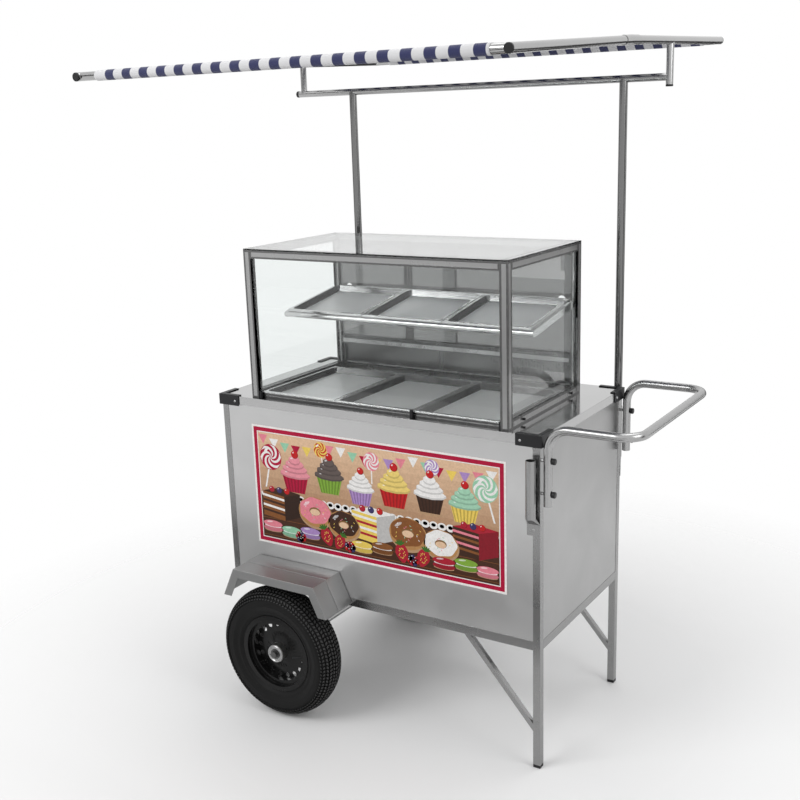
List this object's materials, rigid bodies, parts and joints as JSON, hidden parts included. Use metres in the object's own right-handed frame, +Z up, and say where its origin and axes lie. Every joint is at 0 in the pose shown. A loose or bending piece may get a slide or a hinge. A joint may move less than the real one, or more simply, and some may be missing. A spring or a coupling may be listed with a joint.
{
  "type": "dessert trolley",
  "caption": "Stainless dessert trolley with two pneumatic wheels, legs, push handle, sliding-door cabinet, glazed display case with trays, and a striped canopy on poles.",
  "frame": {"origin": "on the floor under the middle of the whole trolley's bounding box", "axes": "+X along the trolley towards the push handle, +Y from the customer's side to the seller's side, +Z up"},
  "size_m": [1.3344, 1.345, 1.8384],
  "materials": {
    "panel_steel": "polished stainless sheet",
    "frame_steel": "polished stainless tube",
    "worktop_steel": "polished stainless sheet",
    "fender_steel": "polished stainless sheet",
    "bright_tube": "mirror-polished stainless tube",
    "fastener_steel": "bright steel",
    "black_plastic": "moulded",
    "printed_vinyl": "glossy printed sheet",
    "tyre_rubber": "treaded",
    "rim_paint": "gloss black",
    "hub_steel": "turned",
    "black_rubber": "soft",
    "case_glass": "clear",
    "case_profile": "satin profile",
    "tray_steel": "mirror-polished stainless sheet",
    "canvas": "striped canvas"
  },
  "bodies": {
    "chassis": {"corner_posts": "frame_steel", "cabinet_rails": "frame_steel", "braces": "frame_steel", "floor_panel": "panel_steel", "front_panel": "panel_steel", "side_panels": "panel_steel", "back_panel": "panel_steel", "cabinet_tracks": "frame_steel", "worktop": "worktop_steel", "corner_guards": "black_plastic", "dome_screws": "fastener_steel", "graphic_sheet": "printed_vinyl", "axle": "fastener_steel", "axle_brackets": "frame_steel", "axle_nuts": "fastener_steel", "fender_front": "fender_steel", "fender_back": "fender_steel", "handle": "bright_tube", "handle_bolts": "fastener_steel", "handle_knobs": "black_plastic", "pole_sockets": "bright_tube", "leg_feet": "black_plastic", "case_frame": "case_profile", "case_front_glass": "case_glass", "case_left_glass": "case_glass", "case_right_glass": "case_glass", "case_top_glass": "case_glass", "case_back_strip": "case_profile", "case_tracks": "case_profile", "shelf_frame": "tray_steel", "tray_clips": "black_rubber"},
    "front_wheel": {"front_tyre": "tyre_rubber", "front_rim": "rim_paint", "front_rim_disc": "rim_paint", "front_hub": "hub_steel", "front_valve": "black_rubber"},
    "back_wheel": {"back_tyre": "tyre_rubber", "back_rim": "rim_paint", "back_rim_disc": "rim_paint", "back_hub": "hub_steel", "back_valve": "black_rubber"},
    "cabinet_door_left": {"cabinet_door_left": "panel_steel"},
    "cabinet_door_right": {"cabinet_door_right": "panel_steel"},
    "case_door_left": {"case_door_left": "case_glass"},
    "case_door_right": {"case_door_right": "case_glass"},
    "base_tray_left": {"base_tray_left": "tray_steel"},
    "base_tray_middle": {"base_tray_middle": "tray_steel"},
    "base_tray_right": {"base_tray_right": "tray_steel"},
    "shelf_tray_left": {"shelf_tray_left": "tray_steel"},
    "shelf_tray_middle": {"shelf_tray_middle": "tray_steel"},
    "shelf_tray_right": {"shelf_tray_right": "tray_steel"},
    "canopy": {"canopy_poles": "bright_tube", "canopy_bar_left": "bright_tube", "canopy_bar_right": "bright_tube", "canopy_front_arms": "bright_tube", "canopy_rear_arms": "bright_tube", "canopy_cross_tubes": "bright_tube", "canopy_caps": "black_plastic", "canopy_cloth": "canvas"}
  },
  "joints": [
    {"name": "front_wheel_spin", "type": "hinge", "parent": "chassis", "child": "front_wheel", "pos_m": [-0.34775, -0.3845, 0.19], "axis": [0, 1, 0], "continuous": true},
    {"name": "back_wheel_spin", "type": "hinge", "parent": "chassis", "child": "back_wheel", "pos_m": [-0.34775, 0.3095, 0.19], "axis": [0, 1, 0], "continuous": true},
    {"name": "cabinet_door_left_slide", "type": "slide", "parent": "chassis", "child": "cabinet_door_left", "axis": [1, 0, 0], "range_m": [0, 0.4]},
    {"name": "cabinet_door_right_slide", "type": "slide", "parent": "chassis", "child": "cabinet_door_right", "axis": [1, 0, 0], "range_m": [-0.4, 0]},
    {"name": "case_door_left_slide", "type": "slide", "parent": "chassis", "child": "case_door_left", "axis": [1, 0, 0], "range_m": [0, 0.355]},
    {"name": "case_door_right_slide", "type": "slide", "parent": "chassis", "child": "case_door_right", "axis": [1, 0, 0], "range_m": [-0.355, 0]},
    {"name": "base_tray_left_lift", "type": "slide", "parent": "chassis", "child": "base_tray_left", "axis": [0, 0, 1], "range_m": [0, 0.1]},
    {"name": "base_tray_middle_lift", "type": "slide", "parent": "chassis", "child": "base_tray_middle", "axis": [0, 0, 1], "range_m": [0, 0.1]},
    {"name": "base_tray_right_lift", "type": "slide", "parent": "chassis", "child": "base_tray_right", "axis": [0, 0, 1], "range_m": [0, 0.1]},
    {"name": "shelf_tray_left_lift", "type": "slide", "parent": "chassis", "child": "shelf_tray_left", "axis": [0, 0, 1], "range_m": [0, 0.08]},
    {"name": "shelf_tray_middle_lift", "type": "slide", "parent": "chassis", "child": "shelf_tray_middle", "axis": [0, 0, 1], "range_m": [0, 0.08]},
    {"name": "shelf_tray_right_lift", "type": "slide", "parent": "chassis", "child": "shelf_tray_right", "axis": [0, 0, 1], "range_m": [0, 0.08]},
    {"name": "canopy_lift", "type": "slide", "parent": "chassis", "child": "canopy", "axis": [0, 0, 1], "range_m": [0, 0.16]}
  ]
}
